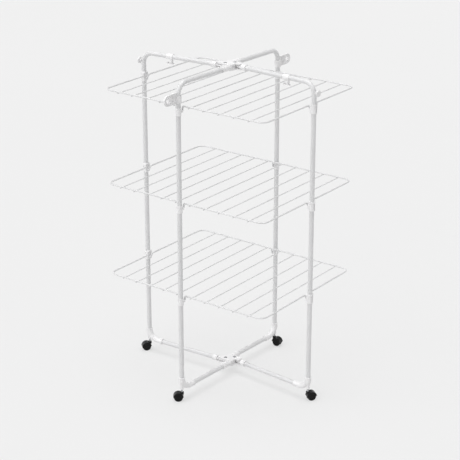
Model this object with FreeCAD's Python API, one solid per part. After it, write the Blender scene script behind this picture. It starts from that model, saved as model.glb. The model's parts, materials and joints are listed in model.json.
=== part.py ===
"""Three-tier folding tower drying rack.

Frame: millimetres, +Z up, origin on the floor under the hub axis.  The front leg is at -Y, the rear
leg at +Y, and the two side legs, each the end of a wing that folds, are near -X (left) and +X (right).
"""
import FreeCAD
import Part
import math
import os

V = FreeCAD.Vector
UP = V(0, 0, 1)

# ---------------------------------------------------------------- driving dimensions
# frame tubes
top_z = 1260.0            # axis of the top bars
bottom_z = 51.0           # axis of the bottom bars
tube_r = 9.0
tube_wall = 1.0
bend_r = 42.0             # bend between a top bar and its leg
lane = 12.5               # each bar leaves the hub beside the centre line, by this much
centre_leg_y = 309.0      # front and rear legs stand at -Y and +Y
wing_reach = 374.0        # from a wing's pivot pin to its leg
lean_left = 3.5           # degrees that each wing stands off square, towards the front leg
lean_right = 4.5

# trays: two halves to a tier, five rods and an outer wire in each
tier_top_z = 1175.0
tier_gap = 370.0
tiers = 3
half_x = 363.0            # centre plane to the outer wire
half_y = 291.0            # centre plane to a side wire
frame_wire_r = 3.0
rod_r = 2.0
rod_pitch = 66.0
rods_per_half = 5
rod_overhang = 5.0        # rod end past the side wire's axis
rod_end_round = 0.8
weld_bite = 0.2           # depth by which a rod is sunk into the side wire
tray_corner_r = 30.0
wire_bend_r = 6.0
dip_depth = 16.0          # the outer wire dips where it sits at the rest clip
dip_width = 30.0
dip_floor = 10.0
dip_offset = 13.0         # the dip's middle is beside the leg, on the side its wing folds to
dip_lean = 3.0            # the dip leans this far out towards the leg

# tray hinges: each half's wire is cranked down to a pin, in a lug on the inner side of a centre leg
hinge_x = 5.5
crank_x = 7.0
crank_drop = 18.0         # hinge axis below the tray plane
hinge_pin_end_y = 300.0
pin_bend_r = 4.0          # the wire's bend beside its pin
bracket_r = 11.0
bracket_h = 28.0
lug_wall = 3.0            # lug material round a pin
lug_gap = 1.5             # from a cranked wire to the lug's face
lug_corner_r = 5.8

# small fits
running = 0.05            # radial play of a pin in its bore
body_gap = 0.3            # play between two moving bodies

# hub: distances along an arm are from its own pivot or lane
hub_half = 26.0
hub_half_h = 12.0
hub_corner_r = 8.0
sleeve_r = 12.0
sleeve_end = 52.0
bar_seat = 3.5            # a fixed bar starts this far along its lane
fork_reach = 34.0         # pivot pin to the nose of the forked plates
fork_half_w = 12.0
slot_half_h = 6.3
slot_wall = 2.0           # web left in the middle of the hub, beside each slot
slot_mouth = 24.6         # beyond this the slot is open on both sides
hub_pin_r = 3.5
pin_head_r = 6.0
pin_head_h = 1.5
pin_head_round = 0.9
eye_r = 9.5
shank_half_w = 6.5
shank_half_h = 3.4
collar_r = 11.5
collar_start = 37.0
collar_end = 58.0
tube_start = 40.0

# elbow at the foot of each leg
elbow_r = 11.5
elbow_bend_r = 46.0
elbow_run = 66.0          # leg axis to the end of the sleeve on the bottom bar
leg_sleeve_r = 11.9
leg_sleeve_top_z = 99.0
leg_foot_z = 83.0         # the leg tube ends here, inside its sleeve
taper_top_z = 81.0
taper_foot_z = 63.0
neck_r = 7.0
neck_foot_z = 49.5
stem_r = 4.0
stem_top_z = 61.0
stem_end_play = 1.0       # from the stem's top to the end of its bore

# casters
wheel_r = 17.0
wheel_w = 9.0
wheel_inner_y = 3.0
tread_corner_r = 2.2
dish_rim = 5.0            # width of the rim round a wheel's dished face
dish_depth = 1.5
wheel_cap_r = 5.0
trail = 14.0
hood_r = 20.0
hood_half_w = 11.6
hood_gap_r = 18.2
hood_skirt_z = 18.0       # the hood's lower edge
hood_web_half = 2.4
hood_web_foot_z = 8.0
hood_boss_r = 7.5
hood_boss_foot_z = 28.0
hood_top_z = 38.0
hood_top_round = 1.5
web_bite = 0.5            # depth by which the web is sunk into the shell
stem_bite = 6.0           # length of stem held in the hood
axle_r = 2.0
axle_short = 0.7          # the axle ends this far inside the wheel caps
caster_heading = {"left": 230.0, "right": 53.0, "front": 220.0, "rear": 4.0}

# rest clips
clip_r = 12.0
clip_body_r = 11.0
clip_h = 34.0
clip_top = 9.0            # sleeve's top above the tray plane
clip_band_h = 4.0
clip_stop_r = 13.4        # leg axis to the face of the stop beside the dip
clip_stop_half_w = 7.0    # the stop goes this far past the leg and past the dip's middle
clip_stop_round = 2.0
clip_split = 4.0

# button pegs
peg_z = 1226.0
peg_sink = 1.5            # depth of the base's hollow back over the leg
peg_base_r = 7.0
peg_base_t = 3.0
peg_neck_r = 4.0
peg_stand_off = 9.0
peg_neck_bite = 1.0       # depth by which the neck is sunk into the head
peg_head_r = 12.5
peg_head_t = 4.5
peg_round = 1.8

# hooks on the top bar
hook_at = 248.0           # pivot pin to the middle of the bar hook
hook_w = 28.0
hook_band_r = 11.0
hook_drop = 20.0          # below the bar
hook_toe = 5.0            # band's end to the strap
hook_strap_t = 4.5
hook_foot_t = 3.5
hook_lip_h = 6.0
hook_half_y = 5.5
hook_round = 1.0

# hanger arms
hanger_length = 80.0
hanger_h = 40.0
hanger_t = 6.0
hanger_z = 1190.0
hanger_collar_h = 26.0
hanger_collar_r = 12.5
hanger_hole_r = 8.5
hanger_hole_half = 2.0    # half the straight part of the oval hole
hanger_slots = 4
slot_first = 19.0         # leg axis to the first slot
slot_pitch = 8.0
slot_half_w = 2.6
slot_half_z = 12.0
bend_clear = 11.0         # the plate is cut back by this much round the leg, above the collar

os.makedirs("parts", exist_ok=True)
made = []


def export(name, shape):
    shape.exportStep("parts/" + name + ".step")
    made.append((name, shape))


# ---------------------------------------------------------------- shape helpers
def rod_between(start, end, radius):
    along = end - start
    return Part.makeCylinder(radius, along.Length, start, along)


def upright_rod(foot, low_z, high_z, radius):
    return Part.makeCylinder(radius, high_z - low_z, foot + UP * low_z, UP)


def box_between(low, high):
    return Part.makeBox(high[0] - low[0], high[1] - low[1], high[2] - low[2], V(*low))


def rounded_path(points, radii):
    """Straight runs between points, with a tangent arc of the given radius at each inner point."""
    edges = []
    last = points[0]
    for before, corner, after, radius in zip(points, points[1:], points[2:], radii):
        back = (before - corner).normalize()
        ahead = (after - corner).normalize()
        half_angle = back.getAngle(ahead) / 2
        tangent = radius / math.tan(half_angle)
        bisector = (back + ahead).normalize()
        centre = corner + bisector * (radius / math.sin(half_angle))
        start = corner + back * tangent
        end = corner + ahead * tangent
        middle = centre - bisector * radius
        edges.append(Part.LineSegment(last, start).toShape())
        edges.append(Part.Arc(start, middle, end).toShape())
        last = end
    edges.append(Part.LineSegment(last, points[-1]).toShape())
    return Part.Wire(edges)


def bent_bar(points, radii, bar_r):
    path = rounded_path(points, radii)
    profile = Part.Wire(Part.Circle(points[0], points[1] - points[0], bar_r).toShape())
    return path.makePipeShell([profile], True, True)


def tube_section(centre, normal):
    outer = Part.Wire(Part.Circle(centre, normal, tube_r).toShape())
    inner = Part.Wire(Part.Circle(centre, normal, tube_r - tube_wall).toShape())
    return Part.makeFace([outer, inner], "Part::FaceMakerBullseye")


# ---------------------------------------------------------------- the four arms
class Arm:
    """A top bar, leg and bottom bar in one upright plane; local X runs from the hub to the leg."""

    def __init__(self, name, pivot, heading, reach):
        self.name = name
        self.pivot = pivot
        self.heading = heading
        self.reach = reach

    def put(self, shape):
        placed = shape.copy()
        placed.rotate(V(0, 0, 0), UP, self.heading)
        placed.translate(self.pivot)
        return placed

    def leg(self):
        angle = math.radians(self.heading)
        return self.pivot + V(math.cos(angle), math.sin(angle), 0) * self.reach


def arm_to(name, pivot, leg):
    run = leg - pivot
    return Arm(name, pivot, math.degrees(math.atan2(run.y, run.x)), run.Length)


left = Arm("left", V(-lane, -lane, 0), 180.0 + lean_left, wing_reach)
right = Arm("right", V(lane, lane, 0), -lean_right, wing_reach)
front = arm_to("front", V(lane, -lane, 0), V(0, -centre_leg_y, 0))
rear = arm_to("rear", V(-lane, lane, 0), V(0, centre_leg_y, 0))
arms = [front, rear, left, right]
wings = [left, right]
tier_z = [tier_top_z - tier_gap * i for i in range(tiers)]


def leg_tube(arm, start):
    """One bent tube: half of a top bar and the leg below its end."""
    bend_x = arm.reach - bend_r
    bar = tube_section(V(start, 0, top_z), V(1, 0, 0)).extrude(V(bend_x - start, 0, 0))
    bend_face = tube_section(V(bend_x, 0, top_z), V(1, 0, 0))
    bend = bend_face.revolve(V(bend_x, 0, top_z - bend_r), V(0, 1, 0), 90)
    leg_h = top_z - bend_r - leg_foot_z
    upright = tube_section(V(arm.reach, 0, leg_foot_z), UP).extrude(V(0, 0, leg_h))
    return bar.fuse([bend, upright]).removeSplitter()


def bottom_tube(arm, start):
    length = arm.reach - elbow_bend_r - start
    return tube_section(V(start, 0, bottom_z), V(1, 0, 0)).extrude(V(length, 0, 0))


def elbow(arm):
    """Moulded quarter bend: a sleeve for each tube, and a tapered neck under the leg for the caster."""
    bend_x = arm.reach - elbow_bend_r
    leg = V(arm.reach, 0, 0)
    section = Part.Face(Part.Wire(Part.Circle(V(bend_x, 0, bottom_z), V(1, 0, 0), elbow_r).toShape()))
    bend = section.revolve(V(bend_x, 0, bottom_z + elbow_bend_r), V(0, -1, 0), 90)
    bar_end = V(arm.reach - elbow_run, 0, bottom_z)
    bar_sleeve = rod_between(V(bend_x, 0, bottom_z), bar_end, elbow_r)
    leg_sleeve = upright_rod(leg, taper_top_z, leg_sleeve_top_z, leg_sleeve_r)
    taper = Part.makeCone(neck_r, leg_sleeve_r, taper_top_z - taper_foot_z, leg + UP * taper_foot_z, UP)
    neck = upright_rod(leg, neck_foot_z, taper_foot_z, neck_r)
    body = bend.fuse([bar_sleeve, leg_sleeve, taper, neck])
    bar_room = rod_between(V(bend_x, 0, bottom_z), bar_end, tube_r)
    leg_room = upright_rod(leg, leg_foot_z, leg_sleeve_top_z, tube_r)
    stem_room = upright_rod(leg, neck_foot_z, stem_top_z + stem_end_play, stem_r + running)
    return body.cut(bar_room.fuse([leg_room, stem_room])).removeSplitter()


# ---------------------------------------------------------------- hubs
def hub(z):
    """Block with a sleeve for the front and rear bars and forked plates for each wing."""
    low_z = z - hub_half_h
    high_z = z + hub_half_h
    block = box_between((-hub_half, -hub_half, low_z), (hub_half, hub_half, high_z))
    upright_edges = [e for e in block.Edges if abs(e.tangentAt(e.FirstParameter).z) > 0.9]
    block = block.makeFillet(hub_corner_r, upright_edges)
    added = []
    rooms = []
    for arm in (front, rear):
        added.append(arm.put(rod_between(V(0, 0, z), V(sleeve_end, 0, z), sleeve_r)))
        rooms.append(arm.put(rod_between(V(bar_seat, 0, z), V(sleeve_end, 0, z), tube_r)))
    for arm, side in ((left, -1), (right, 1)):
        nose = arm.pivot + V(side * (fork_reach - fork_half_w), 0, 0)
        near_x, far_x = sorted((arm.pivot.x, nose.x))
        low_y = nose.y - fork_half_w
        high_y = nose.y + fork_half_w
        added.append(box_between((near_x, low_y, low_z), (far_x, high_y, high_z)))
        added.append(upright_rod(nose, low_z, high_z, fork_half_w))
        rooms.append(slot_between(side * slot_wall, side * slot_wall, side, z))
        rooms.append(slot_between(side * slot_mouth, -side * hub_half, side, z))
        rooms.append(upright_rod(arm.pivot, low_z, high_z, hub_pin_r))
    return block.fuse(added).cut(rooms[0].fuse(rooms[1:])).removeSplitter()


def slot_between(x, y, side, z):
    """The room that a wing's eye turns in, from one corner outwards."""
    far = side * (hub_half + fork_reach)
    low_x, high_x = sorted((x, far))
    low_y, high_y = sorted((y, far))
    return box_between((low_x, low_y, z - slot_half_h), (high_x, high_y, z + slot_half_h))


def hub_pins(z):
    """Two headed pivot pins, one for each wing."""
    top = z + hub_half_h
    pins = []
    for arm in wings:
        shank = upright_rod(arm.pivot, z - hub_half_h, top, hub_pin_r)
        head = upright_rod(arm.pivot, top, top + pin_head_h, pin_head_r)
        rim = [e for e in head.Edges if e.Closed and e.CenterOfMass.z > top + pin_head_h / 2]
        head = head.makeFillet(pin_head_round, rim)
        pins.append(shank.fuse(head))
    return Part.makeCompound(pins)


def knuckle(z):
    """Eye that turns on the hub pin, a flat shank, and a collar that holds the wing's tube."""
    eye_half_h = slot_half_h - body_gap
    centre = V(0, 0, 0)
    eye = upright_rod(centre, z - eye_half_h, z + eye_half_h, eye_r)
    shank = box_between((0, -shank_half_w, z - shank_half_h), (tube_start, shank_half_w, z + shank_half_h))
    collar = rod_between(V(collar_start, 0, z), V(collar_end, 0, z), collar_r)
    tube_room = rod_between(V(tube_start, 0, z), V(collar_end, 0, z), tube_r)
    pin_room = upright_rod(centre, z - eye_half_h, z + eye_half_h, hub_pin_r + running)
    return eye.fuse([shank, collar]).cut(tube_room.fuse(pin_room)).removeSplitter()


# ---------------------------------------------------------------- trays and their hinges
def hinge_bracket(side, z):
    """Collar on a centre leg, with a lug on its inner side that carries both tray halves' pins."""
    leg = V(0, side * centre_leg_y, 0)
    low_z = z - bracket_h / 2
    high_z = z + bracket_h / 2
    face_y = side * (half_y + frame_wire_r + lug_gap)
    half_w = hinge_x + frame_wire_r + lug_wall
    half_h = frame_wire_r + lug_wall
    low_y, high_y = sorted((face_y, side * centre_leg_y))
    lug = box_between((-half_w, low_y, z - half_h), (half_w, high_y, z + half_h))
    lug = lug.makeFillet(lug_corner_r, [e for e in lug.Edges if abs(e.tangentAt(e.FirstParameter).y) > 0.9])
    rooms = [upright_rod(leg, low_z, high_z, tube_r)]
    for x in (-hinge_x, hinge_x):
        rooms.append(rod_between(V(x, face_y, z), V(x, side * hinge_pin_end_y, z), frame_wire_r + running))
    body = upright_rod(leg, low_z, high_z, bracket_r).fuse(lug)
    return body.cut(rooms[0].fuse(rooms[1:])).removeSplitter()


def tray_frame(side, z, dip_y):
    """One wire: hinge pin, crank, side, dipped outer edge, side, crank, hinge pin."""
    x_out = side * half_x
    hinge_z = z - crank_drop
    half_dip = dip_width / 2
    half_floor = dip_floor / 2
    x_dip = x_out + side * dip_lean
    front_half = [
        V(side * hinge_x, -hinge_pin_end_y, hinge_z),
        V(side * hinge_x, -half_y, hinge_z),
        V(side * crank_x, -half_y, z),
        V(x_out, -half_y, z),
        V(x_out, dip_y - half_dip, z),
        V(x_dip, dip_y - half_floor, z - dip_depth),
    ]
    rear_half = [
        V(x_dip, dip_y + half_floor, z - dip_depth),
        V(x_out, dip_y + half_dip, z),
        V(x_out, half_y, z),
        V(side * crank_x, half_y, z),
        V(side * hinge_x, half_y, hinge_z),
        V(side * hinge_x, hinge_pin_end_y, hinge_z),
    ]
    radii = [pin_bend_r, wire_bend_r, tray_corner_r, wire_bend_r, wire_bend_r]
    return bent_bar(front_half + rear_half, radii + radii[::-1], frame_wire_r)


def tray_rods(side, z):
    """Straight rods welded under the two side wires."""
    drop = frame_wire_r + rod_r - weld_bite
    end_y = half_y + rod_overhang
    rods = []
    for i in range(1, rods_per_half + 1):
        x = side * (half_x - rod_pitch * i)
        rod = rod_between(V(x, -end_y, z - drop), V(x, end_y, z - drop), rod_r)
        rods.append(rod.makeFillet(rod_end_round, [e for e in rod.Edges if e.Closed]))
    return Part.makeCompound(rods)


# ---------------------------------------------------------------- small pieces on the legs and bars
def rest_clip(arm, z):
    """Snap sleeve on a wing's leg, with a stop that stands beside the tray wire's dip."""
    leg = V(arm.reach, 0, 0)
    high_z = z + clip_top
    foot_z = high_z - clip_h
    sleeve = upright_rod(leg, foot_z, high_z, clip_body_r)
    bands = [upright_rod(leg, low, low + clip_band_h, clip_r) for low in (foot_z, high_z - clip_band_h)]
    stop = box_between((arm.reach - clip_stop_r, -clip_stop_half_w, foot_z),
                       (arm.reach, dip_offset + clip_stop_half_w, high_z))
    along_x = [e for e in stop.Edges if abs(e.tangentAt(e.FirstParameter).x) > 0.9]
    stop = stop.makeFillet(clip_stop_round, along_x)
    leg_room = upright_rod(leg, foot_z, high_z, tube_r)
    split = box_between((arm.reach, -clip_split / 2, foot_z), (arm.reach + clip_r, clip_split / 2, high_z))
    return sleeve.fuse(bands + [stop]).cut(leg_room.fuse(split)).removeSplitter()


def button_peg(arm):
    """Round button on a short neck, standing off the outside of a wing's leg."""
    out = V(1, 0, 0)
    start = V(arm.reach + tube_r - peg_sink, 0, peg_z)
    base = Part.makeCylinder(peg_base_r, peg_base_t, start, out)
    neck = Part.makeCylinder(peg_neck_r, peg_stand_off + peg_neck_bite, start, out)
    head = Part.makeCylinder(peg_head_r, peg_head_t, start + out * peg_stand_off, out)
    head = head.makeFillet(peg_round, [e for e in head.Edges if e.Closed])
    leg_room = upright_rod(V(arm.reach, 0, 0), peg_z - 2 * peg_base_r, peg_z + 2 * peg_base_r, tube_r)
    return base.fuse([neck, head]).cut(leg_room).removeSplitter()


def bar_hook(arm, foot_side):
    """Band snapped round the top bar, with a strap down near one end and a foot under the band."""
    def span(start, end, low_z, high_z):
        low_x, high_x = sorted((hook_at + foot_side * start, hook_at + foot_side * end))
        return box_between((low_x, -hook_half_y, low_z), (high_x, hook_half_y, high_z))

    half = hook_w / 2
    foot_z = top_z - tube_r - hook_drop
    band_foot = V(hook_at - half, 0, top_z)
    band_end = V(hook_at + half, 0, top_z)
    strap = span(hook_toe - half, hook_toe + hook_strap_t - half, foot_z, top_z)
    foot = span(-half, half, foot_z, foot_z + hook_foot_t)
    lip = span(half - hook_foot_t, half, foot_z, foot_z + hook_lip_h)
    foot = foot.fuse(lip).removeSplitter()
    foot = foot.makeFillet(hook_round, [e for e in foot.Edges if abs(e.tangentAt(e.FirstParameter).y) > 0.9])
    band = rod_between(band_foot, band_end, hook_band_r)
    return band.fuse([strap, foot]).cut(rod_between(band_foot, band_end, tube_r)).removeSplitter()


def hanger(side):
    """Slotted plate on a collar that swivels on a centre leg, for clothes hangers."""
    leg = V(0, side * centre_leg_y, 0)
    collar_top_z = hanger_z + hanger_collar_h
    plate_top_z = hanger_z + hanger_h
    collar = upright_rod(leg, hanger_z, collar_top_z, hanger_collar_r)
    end_r = hanger_h / 2
    mid_z = hanger_z + end_r
    round_y = side * (centre_leg_y + hanger_length - end_r)
    low_y, high_y = sorted((leg.y, round_y))
    plate = box_between((-hanger_t / 2, low_y, hanger_z), (hanger_t / 2, high_y, plate_top_z))
    nose = Part.makeCylinder(end_r, hanger_t, V(-hanger_t / 2, round_y, mid_z), V(1, 0, 0))
    rooms = [upright_rod(leg, hanger_z, collar_top_z, tube_r + 2 * running)]
    rooms.append(box_between((-hanger_t, -centre_leg_y - bend_clear, collar_top_z),
                             (hanger_t, centre_leg_y + bend_clear, plate_top_z)))
    # large oval hole near the nose
    hole_r = hanger_hole_r
    low_y, high_y = round_y - hanger_hole_half, round_y + hanger_hole_half
    rooms.append(box_between((-hanger_t, low_y, mid_z - hole_r), (hanger_t, high_y, mid_z + hole_r)))
    for y in (low_y, high_y):
        rooms.append(Part.makeCylinder(hole_r, 2 * hanger_t, V(-hanger_t, y, mid_z), V(1, 0, 0)))
    # narrow upright slots between the hole and the collar
    for number in range(hanger_slots):
        y = side * (centre_leg_y + slot_first + slot_pitch * number)
        rooms.append(box_between((-hanger_t, y - slot_half_w, mid_z - slot_half_z),
                                 (hanger_t, y + slot_half_w, mid_z + slot_half_z)))
    return collar.fuse([plate, nose]).cut(rooms[0].fuse(rooms[1:])).removeSplitter()


# ---------------------------------------------------------------- casters
class Caster:
    """Local X trails from the stem to the axle; placed under a leg at its heading."""

    def __init__(self, arm):
        self.arm = arm
        self.heading = caster_heading[arm.name]

    def put(self, shape):
        placed = shape.copy()
        placed.rotate(V(0, 0, 0), UP, self.heading)
        placed.translate(self.arm.leg())
        return placed


def across(radius, half_width):
    """A solid disc about the axle's line."""
    return Part.makeCylinder(radius, 2 * half_width, V(trail, -half_width, wheel_r), V(0, 1, 0))


def caster_hood():
    """Arched cover over both wheels, a web between them and a boss for the stem."""
    def room_below(z):
        return box_between((trail - 2 * hood_r, -2 * hood_r, -hood_r), (trail + 2 * hood_r, 2 * hood_r, z))

    gap = across(hood_gap_r, 2 * hood_half_w)
    shell = across(hood_r, hood_half_w).cut(room_below(hood_skirt_z))
    boss = upright_rod(V(0, 0, 0), hood_boss_foot_z, hood_top_z, hood_boss_r)
    rim = [e for e in boss.Edges if e.Closed and e.CenterOfMass.z > hood_top_z - hood_top_round]
    boss = boss.makeFillet(hood_top_round, rim)
    web = across(hood_gap_r + web_bite, hood_web_half).cut(room_below(hood_web_foot_z))
    body = shell.fuse(boss).cut(gap).fuse(web)
    stem_room = upright_rod(V(0, 0, 0), hood_top_z - stem_bite, hood_top_z, stem_r)
    return body.cut(stem_room.fuse(across(axle_r, hood_web_half))).removeSplitter()


def caster_pins():
    """Steel stem and axle, both held in the hood."""
    stem = upright_rod(V(0, 0, 0), hood_top_z - stem_bite, stem_top_z, stem_r)
    return Part.makeCompound([stem, across(axle_r, wheel_inner_y + wheel_w - axle_short)])


def caster_wheels():
    """Two wheels with rounded treads and a dished outer face round a closed cap."""
    outer_y = wheel_inner_y + wheel_w
    wheels = []
    for side in (-1, 1):
        out = V(0, side, 0)
        hub_point = V(trail, side * wheel_inner_y, wheel_r)
        wheel = Part.makeCylinder(wheel_r, wheel_w, hub_point, out)
        wheel = wheel.makeFillet(tread_corner_r, [e for e in wheel.Edges if e.Closed])
        dish_point = V(trail, side * (outer_y - dish_depth), wheel_r)
        dish = Part.makeCylinder(wheel_r - dish_rim, dish_depth, dish_point, out)
        cap = Part.makeCylinder(wheel_cap_r, wheel_w, hub_point, out)
        bore = Part.makeCylinder(axle_r + running, wheel_w - axle_short + running, hub_point, out)
        wheels.append(wheel.cut(dish).fuse(cap).cut(bore).removeSplitter())
    return Part.makeCompound(wheels)


# ---------------------------------------------------------------- build
for arm in arms:
    start = bar_seat if arm in (front, rear) else tube_start
    export(arm.name + "_leg_tube", arm.put(leg_tube(arm, start)))
    export(arm.name + "_bottom_tube", arm.put(bottom_tube(arm, start)))
    export(arm.name + "_elbow", arm.put(elbow(arm)))
    caster = Caster(arm)
    export(arm.name + "_caster_hood", caster.put(caster_hood()))
    export(arm.name + "_caster_pins", caster.put(caster_pins()))
    export(arm.name + "_caster_wheels", caster.put(caster_wheels()))

for level, z in (("top", top_z), ("bottom", bottom_z)):
    export(level + "_hub", hub(z))
    export(level + "_hub_pins", hub_pins(z))
    for arm in wings:
        export(arm.name + "_" + level + "_knuckle", arm.put(knuckle(z)))

for number, z in enumerate(tier_z, start=1):
    for name, side in (("front", -1), ("rear", 1)):
        export("%s_hinge_bracket_%d" % (name, number), hinge_bracket(side, z - crank_drop))
    for arm, side in ((left, -1), (right, 1)):
        dip_y = arm.leg().y + side * dip_offset
        export("%s_tray_frame_%d" % (arm.name, number), tray_frame(side, z, dip_y))
        export("%s_tray_rods_%d" % (arm.name, number), tray_rods(side, z))

for arm, foot_side in ((left, 1), (right, -1)):
    export(arm.name + "_rest_clips", Part.makeCompound([arm.put(rest_clip(arm, z)) for z in tier_z]))
    export(arm.name + "_button_peg", arm.put(button_peg(arm)))
    export(arm.name + "_bar_hook", arm.put(bar_hook(arm, foot_side)))

export("front_hanger", hanger(-1))
export("rear_hanger", hanger(1))

for name, shape in made:
    state = "ok" if shape.isValid() else "NOT VALID"
    print("%-24s %-9s solids %d  volume %.0f mm3" % (name, state, len(shape.Solids), shape.Volume))
print(len(made), "nodes")
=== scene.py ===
"""Looks for the three-tier folding tower drying rack: materials, moulded details, light and camera.

Lengths are metres in the frame's own axes: the front leg at -Y, the rear leg at +Y, the wings at -X and +X.
"""

import json
import math

import bmesh
import bpy
from mathutils import Matrix, Vector


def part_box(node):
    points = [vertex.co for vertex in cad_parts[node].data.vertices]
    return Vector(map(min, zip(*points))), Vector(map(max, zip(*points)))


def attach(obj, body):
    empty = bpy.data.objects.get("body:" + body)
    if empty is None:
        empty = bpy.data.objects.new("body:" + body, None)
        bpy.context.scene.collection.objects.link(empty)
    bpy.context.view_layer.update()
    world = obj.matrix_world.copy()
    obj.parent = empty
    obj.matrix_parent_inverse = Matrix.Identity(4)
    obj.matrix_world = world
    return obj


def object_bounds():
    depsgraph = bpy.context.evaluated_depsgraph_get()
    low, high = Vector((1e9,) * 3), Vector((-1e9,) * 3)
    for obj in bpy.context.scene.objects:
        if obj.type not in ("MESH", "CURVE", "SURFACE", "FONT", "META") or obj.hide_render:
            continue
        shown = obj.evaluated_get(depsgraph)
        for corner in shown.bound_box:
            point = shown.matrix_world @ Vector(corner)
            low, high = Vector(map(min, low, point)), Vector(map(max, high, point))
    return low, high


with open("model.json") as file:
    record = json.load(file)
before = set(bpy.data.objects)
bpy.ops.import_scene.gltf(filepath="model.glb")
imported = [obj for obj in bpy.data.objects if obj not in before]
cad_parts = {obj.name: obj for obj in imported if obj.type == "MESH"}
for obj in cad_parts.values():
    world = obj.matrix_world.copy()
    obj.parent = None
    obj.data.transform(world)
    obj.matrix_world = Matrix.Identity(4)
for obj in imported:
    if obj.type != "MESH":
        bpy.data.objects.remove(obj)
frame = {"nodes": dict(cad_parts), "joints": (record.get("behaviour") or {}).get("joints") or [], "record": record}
cad_low, cad_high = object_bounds()
UP = Vector((0, 0, 1))
MM = 0.001

# sleeves and collars, with a bead round each mouth
lip_r = 0.9 * MM
elbow_run = 66 * MM        # leg axis to the mouth on the bottom bar
elbow_leg_r = 11.9 * MM
elbow_bar_r = 11.5 * MM
hub_sleeve_end = 52 * MM   # a fixed bar's start to its sleeve's mouth
hub_sleeve_r = 12 * MM
pin_rim_r = 8.2 * MM       # raised rim round a pivot pin
pin_rim_bead = 0.8 * MM
knuckle_end = 58 * MM      # pivot pin to the mouth of the wing's collar
knuckle_r = 11.5 * MM
bracket_r = 10.9 * MM

# welds where the rods cross the side wires
rod_overhang = 5 * MM      # rod end past the side wire's axis
weld_sink = 0.3 * MM
weld_half = (3.0 * MM, 3.4 * MM, 1.5 * MM)

# grip ribs on the rest clips, open at the split behind the leg
clip_body_r = 11.0 * MM
clip_top_rib = 8.0 * MM
clip_rib_pitch = 3.0 * MM
clip_rib_bead = 0.6 * MM
clip_rib_turn = 2.7        # radians each way from the side that faces the hub

# raised borders on the hanger arms
hanger_half_t = 3.0 * MM
hanger_collar_r = 12.5 * MM
border_inset = 1.2 * MM
border_bead = 1.1 * MM
hole_half = 2.0 * MM       # half the straight part of the oval hole
hole_r = 8.5 * MM
hole_bead = 0.9 * MM

# casters
wheel_face_y = 11.9 * MM
wheel_rim_r = 12.2 * MM
wheel_rim_bead = 0.7 * MM
wheel_cap_r = 5.0 * MM
wheel_cap_bead = 0.6 * MM
wheel_ribs = 8
wheel_rib_bead = 0.8 * MM
wheel_rib_sink = 1.1 * MM
hood_half_w = 11.4 * MM
hood_mid_r = 19.1 * MM
hood_bead = 0.95 * MM
hood_start = 0.08          # radians from the horizontal to each end of the bead

# studio
floor_profile = [(6.0, 0.0), (16.0, 0.0), (19.0, 0.5), (21.0, 2.2), (21.8, 5.0), (22.0, 9.0)]
floor_steps = 64
floor_glow = 0.559
sky_strength = 0.30
aim_below_centre = 0.029

joints = {j["name"]: j for j in frame["joints"]}


def joint_at(name):
    return Vector(joints[name]["pos_m"])


# ---------------------------------------------------------------- the four arms, read from the joints
class Arm:
    """Where an arm's bars leave the hub, where its leg stands, and the body it belongs to."""

    def __init__(self, name, start, body):
        self.name = name
        self.body = body
        foot = joint_at(name + "_caster_swivel")
        self.leg = Vector((foot.x, foot.y, 0))
        self.start = Vector((start.x, start.y, 0))
        self.along = (self.leg - self.start).normalized()


left_pivot = joint_at("left_wing_fold")
right_pivot = joint_at("right_wing_fold")
arms = [
    Arm("front", Vector((right_pivot.x, left_pivot.y, 0)), "centre_frame"),
    Arm("rear", Vector((left_pivot.x, right_pivot.y, 0)), "centre_frame"),
    Arm("left", left_pivot, "left_wing"),
    Arm("right", right_pivot, "right_wing"),
]
fixed_arms, wings = arms[:2], arms[2:]
ends = {"front": -1, "rear": 1}
levels = ("top", "bottom")
tiers = (1, 2, 3)


# ---------------------------------------------------------------- mesh helpers
def smooth_object(name, bm, material):
    """Turns a bmesh into a smooth-shaded object in the scene."""
    mesh = bpy.data.meshes.new(name)
    bm.to_mesh(mesh)
    bm.free()
    for face in mesh.polygons:
        face.use_smooth = True
    mesh.materials.append(material)
    made = bpy.data.objects.new(name, mesh)
    bpy.context.scene.collection.objects.link(made)
    return made


def new_piece(name, bm, body, slot):
    """A finished piece in its slot's material, riding on its body."""
    bmesh.ops.recalc_face_normals(bm, faces=bm.faces)
    piece = smooth_object(name, bm, finish[slot])
    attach(piece, body)


def axes_about(axis):
    """Two unit vectors square to the axis and to each other."""
    axis = axis.normalized()
    first = axis.orthogonal().normalized()
    return first, axis.cross(first)


def add_sweep(bm, points, radius, closed, sides_round=8):
    """A round bead along a line of points, with no twist from one point to the next."""
    loops = []
    first = last_tangent = None
    count = len(points)
    for i, point in enumerate(points):
        if closed:
            tangent = points[(i + 1) % count] - points[i - 1]
        else:
            tangent = points[min(i + 1, count - 1)] - points[max(i - 1, 0)]
        tangent.normalize()
        if first is None:
            first = tangent.orthogonal().normalized()
        else:
            first.rotate(last_tangent.rotation_difference(tangent))
        last_tangent = tangent
        second = tangent.cross(first)
        loop = []
        for k in range(sides_round):
            a = 2 * math.pi * k / sides_round
            offset = (first * math.cos(a) + second * math.sin(a)) * radius
            loop.append(bm.verts.new(point + offset))
        loops.append(loop)
    pairs = list(zip(loops, loops[1:]))
    if closed:
        pairs.append((loops[-1], loops[0]))
    for low, high in pairs:
        for k in range(sides_round):
            n = (k + 1) % sides_round
            bm.faces.new((low[k], low[n], high[n], high[k]))
    if not closed:
        bm.faces.new(loops[0][::-1])
        bm.faces.new(loops[-1])


def arc_points(centre, first, second, radius, start, end, steps):
    """Points on an arc from angle start to angle end, both measured from first towards second."""
    angles = [start + (end - start) * k / steps for k in range(steps + 1)]
    return [centre + (first * math.cos(a) + second * math.sin(a)) * radius for a in angles]


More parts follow.
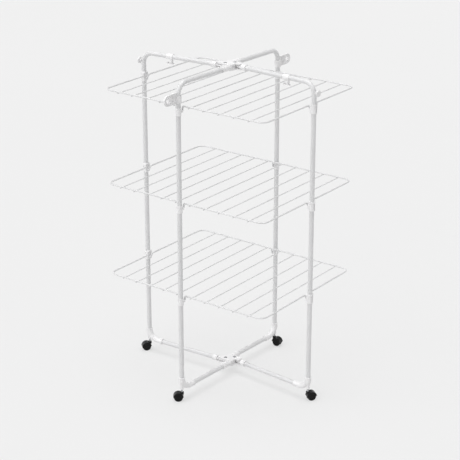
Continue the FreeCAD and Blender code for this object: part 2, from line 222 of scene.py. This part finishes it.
def add_ring(bm, centre, axis, radius, bead=lip_r, steps=56):
    """A rounded bead right round a sleeve, hole or cap."""
    first, second = axes_about(axis)
    circle = arc_points(centre, first, second, radius, 0.0, 2 * math.pi, steps)
    add_sweep(bm, circle[:-1], bead, True)


def add_blob(bm, centre, half_sizes):
    """A small smooth bead of weld."""
    made = bmesh.ops.create_uvsphere(bm, u_segments=12, v_segments=8, radius=1.0)
    scale = Matrix.Diagonal((*half_sizes, 1.0))
    bmesh.ops.transform(bm, matrix=Matrix.Translation(centre) @ scale, verts=made["verts"])


# ---------------------------------------------------------------- materials
def node_tree(name):
    material = bpy.data.materials.new(name)
    material.use_nodes = True
    nodes = material.node_tree.nodes
    links = material.node_tree.links
    shader = next(n for n in nodes if n.type == "BSDF_PRINCIPLED")
    return material, nodes, links, shader


def noise(nodes, links, scale, detail=3.0):
    """A noise texture in the object's own coordinates, scale in waves per metre."""
    place = nodes.new("ShaderNodeTexCoord")
    texture = nodes.new("ShaderNodeTexNoise")
    texture.inputs["Scale"].default_value = scale
    texture.inputs["Detail"].default_value = detail
    links.new(place.outputs["Object"], texture.inputs["Vector"])
    return texture


def ramp(nodes, links, source, low, high, start=0.35, end=0.65):
    """Maps a texture onto a range of colours or values."""
    band = nodes.new("ShaderNodeValToRGB")
    band.color_ramp.elements[0].position = start
    band.color_ramp.elements[1].position = end
    band.color_ramp.elements[0].color = (*low, 1.0)
    band.color_ramp.elements[1].color = (*high, 1.0)
    links.new(source, band.inputs["Fac"])
    return band.outputs["Color"]


def grey(value):
    return (value, value, value)


def add_bump(nodes, links, shader, source, strength, distance):
    bump = nodes.new("ShaderNodeBump")
    bump.inputs["Strength"].default_value = strength
    bump.inputs["Distance"].default_value = distance
    links.new(source, bump.inputs["Height"])
    links.new(bump.outputs["Normal"], shader.inputs["Normal"])


def coated_metal(name, light, dark, rough, grain_scale, bump_height):
    """Baked-on coating: cloudy tone, orange-peel grain and uneven gloss."""
    material, nodes, links, shader = node_tree(name)
    cloud = noise(nodes, links, 14.0, 4.0)
    links.new(ramp(nodes, links, cloud.outputs["Fac"], dark, light), shader.inputs["Base Color"])
    grain = noise(nodes, links, grain_scale, 2.0)
    gloss = ramp(nodes, links, grain.outputs["Fac"], grey(rough - 0.05), grey(rough + 0.07))
    links.new(gloss, shader.inputs["Roughness"])
    add_bump(nodes, links, shader, grain.outputs["Fac"], 0.35, bump_height)
    shader.inputs["Coat Weight"].default_value = 0.08
    shader.inputs["Coat Roughness"].default_value = 0.18
    return material


def moulded_plastic(name, light, dark, rough, grain_height, coat=0.0, specular=0.5):
    """Injection-moulded plastic: spark-etched grain with faint flow marks."""
    material, nodes, links, shader = node_tree(name)
    flow = noise(nodes, links, 30.0, 2.0)
    links.new(ramp(nodes, links, flow.outputs["Fac"], dark, light), shader.inputs["Base Color"])
    grain = noise(nodes, links, 1500.0, 3.0)
    gloss = ramp(nodes, links, grain.outputs["Fac"], grey(rough - 0.06), grey(rough + 0.06))
    links.new(gloss, shader.inputs["Roughness"])
    add_bump(nodes, links, shader, grain.outputs["Fac"], 0.3, grain_height)
    shader.inputs["Specular IOR Level"].default_value = specular
    shader.inputs["Coat Weight"].default_value = coat
    shader.inputs["Coat Roughness"].default_value = 0.12
    return material


def turned_steel(name):
    """Zinc-plated steel with fine turning marks and cloudy plating."""
    material, nodes, links, shader = node_tree(name)
    cloud = noise(nodes, links, 220.0, 3.0)
    tone = ramp(nodes, links, cloud.outputs["Fac"], (0.46, 0.47, 0.49), (0.66, 0.66, 0.67))
    links.new(tone, shader.inputs["Base Color"])
    place = nodes.new("ShaderNodeTexCoord")
    stretch = nodes.new("ShaderNodeMapping")
    stretch.inputs["Scale"].default_value = (60.0, 60.0, 5200.0)
    marks = nodes.new("ShaderNodeTexNoise")
    marks.inputs["Scale"].default_value = 1.0
    links.new(place.outputs["Object"], stretch.inputs["Vector"])
    links.new(stretch.outputs["Vector"], marks.inputs["Vector"])
    gloss = ramp(nodes, links, marks.outputs["Fac"], grey(0.24), grey(0.42))
    links.new(gloss, shader.inputs["Roughness"])
    add_bump(nodes, links, shader, marks.outputs["Fac"], 0.2, 0.00003)
    shader.inputs["Metallic"].default_value = 1.0
    return material


def floor_paint(name):
    """Matt pale studio floor, with a faint glow that keeps its shadows soft."""
    material, nodes, links, shader = node_tree(name)
    cloud = noise(nodes, links, 0.6, 2.0)
    tone = ramp(nodes, links, cloud.outputs["Fac"], grey(0.248), grey(0.252))
    links.new(tone, shader.inputs["Base Color"])
    shader.inputs["Roughness"].default_value = 0.9
    shader.inputs["Specular IOR Level"].default_value = 0.0
    shader.inputs["Emission Color"].default_value = (1.0, 1.0, 1.0, 1.0)
    shader.inputs["Emission Strength"].default_value = floor_glow
    return material


finish = {
    "white_powder_coat": coated_metal(
        "powder_coat", (0.695, 0.695, 0.70), (0.665, 0.665, 0.67), 0.38, 900.0, 0.00006),
    "white_wire_coat": coated_metal(
        "wire_coat", (0.70, 0.70, 0.705), (0.66, 0.66, 0.665), 0.42, 1400.0, 0.00004),
    "white_plastic": moulded_plastic(
        "white_plastic", (0.82, 0.815, 0.82), (0.79, 0.785, 0.79), 0.44, 0.00003),
    "black_plastic": moulded_plastic(
        "black_plastic", (0.010, 0.010, 0.011), (0.006, 0.006, 0.006), 0.30, 0.00002, 0.1, 0.3),
    "black_tread": moulded_plastic(
        "black_tread", (0.010, 0.010, 0.010), (0.006, 0.006, 0.006), 0.45, 0.00004, 0.0, 0.2),
    "steel": turned_steel("steel"),
}
slot_of = {part["node"]: part["material_slot"] for part in frame["record"]["subparts"]}
for node, obj in frame["nodes"].items():
    obj.data.materials.clear()
    obj.data.materials.append(finish[slot_of[node]])


# ---------------------------------------------------------------- details on the sleeves and collars
def elbow_lips(arm):
    """Beads at both mouths of a foot elbow."""
    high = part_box(arm.name + "_elbow")[1]
    bar_low, bar_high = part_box(arm.name + "_bottom_tube")
    bar_z = (bar_low.z + bar_high.z) / 2
    bar_mouth = arm.leg - arm.along * elbow_run + UP * bar_z
    bm = bmesh.new()
    add_ring(bm, arm.leg + UP * (high.z - lip_r), UP, elbow_leg_r)
    add_ring(bm, bar_mouth + arm.along * lip_r, arm.along, elbow_bar_r)
    new_piece(arm.name + "_elbow_lips", bm, arm.body, "white_plastic")


for arm in arms:
    elbow_lips(arm)


def hub_trim(level):
    """Beads at the mouths of the two fixed sleeves, and a raised rim round both pivot pins."""
    low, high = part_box(level + "_hub")
    mid_z = (low.z + high.z) / 2
    bm = bmesh.new()
    for arm in fixed_arms:
        mouth = arm.start + arm.along * (hub_sleeve_end - lip_r) + UP * mid_z
        add_ring(bm, mouth, arm.along, hub_sleeve_r)
    for arm in wings:
        for z in (low.z, high.z):
            add_ring(bm, arm.start + UP * z, UP, pin_rim_r, pin_rim_bead)
    new_piece(level + "_hub_trim", bm, "centre_frame", "white_plastic")


for level in levels:
    hub_trim(level)


def knuckle_lip(arm, level):
    """A bead at the mouth of a wing's collar."""
    low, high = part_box(level + "_hub")
    mouth = arm.start + arm.along * (knuckle_end - lip_r) + UP * (low.z + high.z) / 2
    bm = bmesh.new()
    add_ring(bm, mouth, arm.along, knuckle_r)
    new_piece(arm.name + "_" + level + "_knuckle_lip", bm, arm.body, "white_plastic")


for arm in wings:
    for level in levels:
        knuckle_lip(arm, level)


def bracket_lips(end, tier):
    """Beads round the top and foot of a hinge bracket."""
    low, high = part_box("%s_hinge_bracket_%d" % (end, tier))
    leg = Vector((0, joint_at(end + "_caster_swivel").y, 0))
    bm = bmesh.new()
    for z in (low.z + lip_r, high.z - lip_r):
        add_ring(bm, leg + UP * z, UP, bracket_r)
    new_piece("%s_bracket_lips_%d" % (end, tier), bm, "centre_frame", "white_plastic")


for end in ends:
    for tier in tiers:
        bracket_lips(end, tier)


# ---------------------------------------------------------------- welds on the trays
def groups(values, gap):
    """Middles of runs of sorted values that are parted by more than the gap."""
    runs = []
    for value in sorted(values):
        if runs and value - runs[-1][-1] < gap:
            runs[-1].append(value)
        else:
            runs.append([value])
    return [(run[0] + run[-1]) / 2 for run in runs]


def tray_welds(side, tier):
    """A flattened bead wherever a rod crosses a side wire."""
    rods = "%s_tray_rods_%d" % (side, tier)
    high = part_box(rods)[1]
    wire_y = high.y - rod_overhang
    weld_z = high.z - weld_sink
    bm = bmesh.new()
    for x in groups([v.co.x for v in frame["nodes"][rods].data.vertices], 10 * MM):
        for y in (-wire_y, wire_y):
            add_blob(bm, Vector((x, y, weld_z)), weld_half)
    new_piece("%s_tray_welds_%d" % (side, tier), bm, "%s_tray_%d" % (side, tier), "white_wire_coat")


for side in ("left", "right"):
    for tier in tiers:
        tray_welds(side, tier)


# ---------------------------------------------------------------- grips on the rest clips
def clip_grips(arm):
    """Three grip ribs round each rest clip, open at the split."""
    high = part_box(arm.name + "_rest_clips")[1]
    step = joint_at(arm.name + "_tray_1_hinge").z - joint_at(arm.name + "_tray_2_hinge").z
    bm = bmesh.new()
    for tier in tiers:
        top_z = high.z - step * (tier - 1)
        for rib in range(3):
            z = top_z - clip_top_rib - clip_rib_pitch * rib
            rib_line = arc_points(arm.leg + UP * z, -arm.along, UP.cross(-arm.along), clip_body_r,
                                  -clip_rib_turn, clip_rib_turn, 40)
            add_sweep(bm, rib_line, clip_rib_bead, False)
    new_piece(arm.name + "_clip_grips", bm, arm.body, "white_plastic")


for arm in wings:
    clip_grips(arm)


# ---------------------------------------------------------------- rims on the hanger arms
def hanger_rims(end):
    """A raised border round the plate's outline and round its oval hole, on both faces."""
    low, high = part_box(end + "_hanger")
    out = Vector((0, ends[end], 0))
    leg = Vector((0, joint_at(end + "_hanger_swivel").y, 0))
    end_r = (high.z - low.z) / 2
    far_y = high.y if out.y > 0 else low.y
    nose = Vector((0, far_y, (low.z + high.z) / 2)) - out * end_r
    border_r = end_r - border_inset
    quarter = math.pi / 2
    bm = bmesh.new()
    for face in (Vector((-hanger_half_t, 0, 0)), Vector((hanger_half_t, 0, 0))):
        start = leg + out * hanger_collar_r + face + UP * nose.z
        border = arc_points(nose + face, out, UP, border_r, -quarter, quarter, 24)
        add_sweep(bm, [start - UP * border_r] + border + [start + UP * border_r], border_bead, False)
        oval = arc_points(nose + face + out * hole_half, out, UP, hole_r + hole_bead, -quarter, quarter, 16)
        oval += arc_points(nose + face - out * hole_half, out, UP, hole_r + hole_bead,
                           quarter, 3 * quarter, 16)
        add_sweep(bm, oval, hole_bead, True)
    new_piece(end + "_hanger_rims", bm, end + "_hanger", "white_plastic")


for end in ends:
    hanger_rims(end)


# ---------------------------------------------------------------- details on the casters
def wheel_faces(arm):
    """A rim lip and radial ribs in the dished outer face of each wheel."""
    centre = joint_at(arm.name + "_wheels_roll")
    axis = Vector(joints[arm.name + "_wheels_roll"]["axis"])
    first, second = axes_about(axis)
    bm = bmesh.new()
    for sign in (-1, 1):
        face = centre + axis * sign * wheel_face_y
        add_ring(bm, face, axis, wheel_rim_r, wheel_rim_bead)
        add_ring(bm, face, axis, wheel_cap_r, wheel_cap_bead)
        rib_root = face - axis * sign * wheel_rib_sink
        for k in range(wheel_ribs):
            a = 2 * math.pi * k / wheel_ribs
            out = first * math.cos(a) + second * math.sin(a)
            rib = [rib_root + out * wheel_cap_r, rib_root + out * wheel_rim_r]
            add_sweep(bm, rib, wheel_rib_bead, False)
    new_piece(arm.name + "_wheel_faces", bm, arm.name + "_wheels", "black_tread")


def hood_rims(arm):
    """A rounded bead along both curved edges of a caster's hood."""
    centre = joint_at(arm.name + "_wheels_roll")
    axis = Vector(joints[arm.name + "_wheels_roll"]["axis"])
    back = centre - arm.leg
    back.z = 0
    back.normalize()
    bm = bmesh.new()
    for sign in (-1, 1):
        edge = centre + axis * sign * hood_half_w
        add_sweep(bm, arc_points(edge, back, UP, hood_mid_r, hood_start, math.pi - hood_start, 32),
                  hood_bead, False)
    new_piece(arm.name + "_hood_rims", bm, arm.name + "_caster", "black_plastic")


for arm in arms:
    wheel_faces(arm)
    hood_rims(arm)


# ---------------------------------------------------------------- floor, light and camera
def studio_floor():
    """A wide disc under the rack, turned up far away so that no horizon shows."""
    bm = bmesh.new()
    middle = bm.verts.new((0, 0, 0))
    turns = [2 * math.pi * k / floor_steps for k in range(floor_steps)]
    rings = [[bm.verts.new((radius * math.cos(a), radius * math.sin(a), height)) for a in turns]
             for radius, height in floor_profile]
    for k in range(floor_steps):
        n = (k + 1) % floor_steps
        bm.faces.new((middle, rings[0][k], rings[0][n]))
        for inner, outer in zip(rings, rings[1:]):
            bm.faces.new((inner[k], outer[k], outer[n], inner[n]))
    smooth_object("studio_floor", bm, floor_paint("floor_paint"))


def soft_sun(name, heading, elevation, strength, spread):
    """Even light over the whole floor; heading is the way to the light, in degrees from +X."""
    data = bpy.data.lights.new(name, "SUN")
    data.energy = strength
    data.angle = math.radians(spread)
    a, e = math.radians(heading), math.radians(elevation)
    to_light = Vector((math.cos(a) * math.cos(e), math.sin(a) * math.cos(e), math.sin(e)))
    lamp = bpy.data.objects.new(name, data)
    lamp.location = to_light * 5.0
    lamp.rotation_mode = "QUATERNION"
    lamp.rotation_quaternion = (-to_light).to_track_quat("-Z", "Y")
    bpy.context.scene.collection.objects.link(lamp)


def sky(strength):
    world = bpy.data.worlds.new("soft_sky")
    world.use_nodes = True
    background = world.node_tree.nodes["Background"]
    background.inputs["Color"].default_value = (1.0, 1.0, 1.0, 1.0)
    background.inputs["Strength"].default_value = strength
    bpy.context.scene.world = world


def camera(target, azimuth, elevation, distance, lens):
    a, e = math.radians(azimuth), math.radians(elevation)
    back = Vector((math.sin(a) * math.cos(e), -math.cos(a) * math.cos(e), math.sin(e)))
    data = bpy.data.cameras.new("camera")
    data.lens = lens
    data.sensor_width = 36.0
    data.clip_end = 200.0
    cam = bpy.data.objects.new("camera", data)
    cam.location = target + back * distance
    cam.rotation_mode = "QUATERNION"
    cam.rotation_quaternion = (-back).to_track_quat("-Z", "Y")
    bpy.context.scene.collection.objects.link(cam)
    bpy.context.scene.camera = cam


centre = (cad_low + cad_high) / 2
studio_floor()
sky(sky_strength)
soft_sun("key", heading=250.0, elevation=28.0, strength=2.0, spread=70.0)
soft_sun("overhead", heading=0.0, elevation=90.0, strength=2.0, spread=44.0)
target = Vector((0, 0, centre.z - aim_below_centre))
camera(target, azimuth=36.65, elevation=21.33, distance=5.651, lens=114.65)
bpy.context.scene.view_settings.view_transform = "Standard"
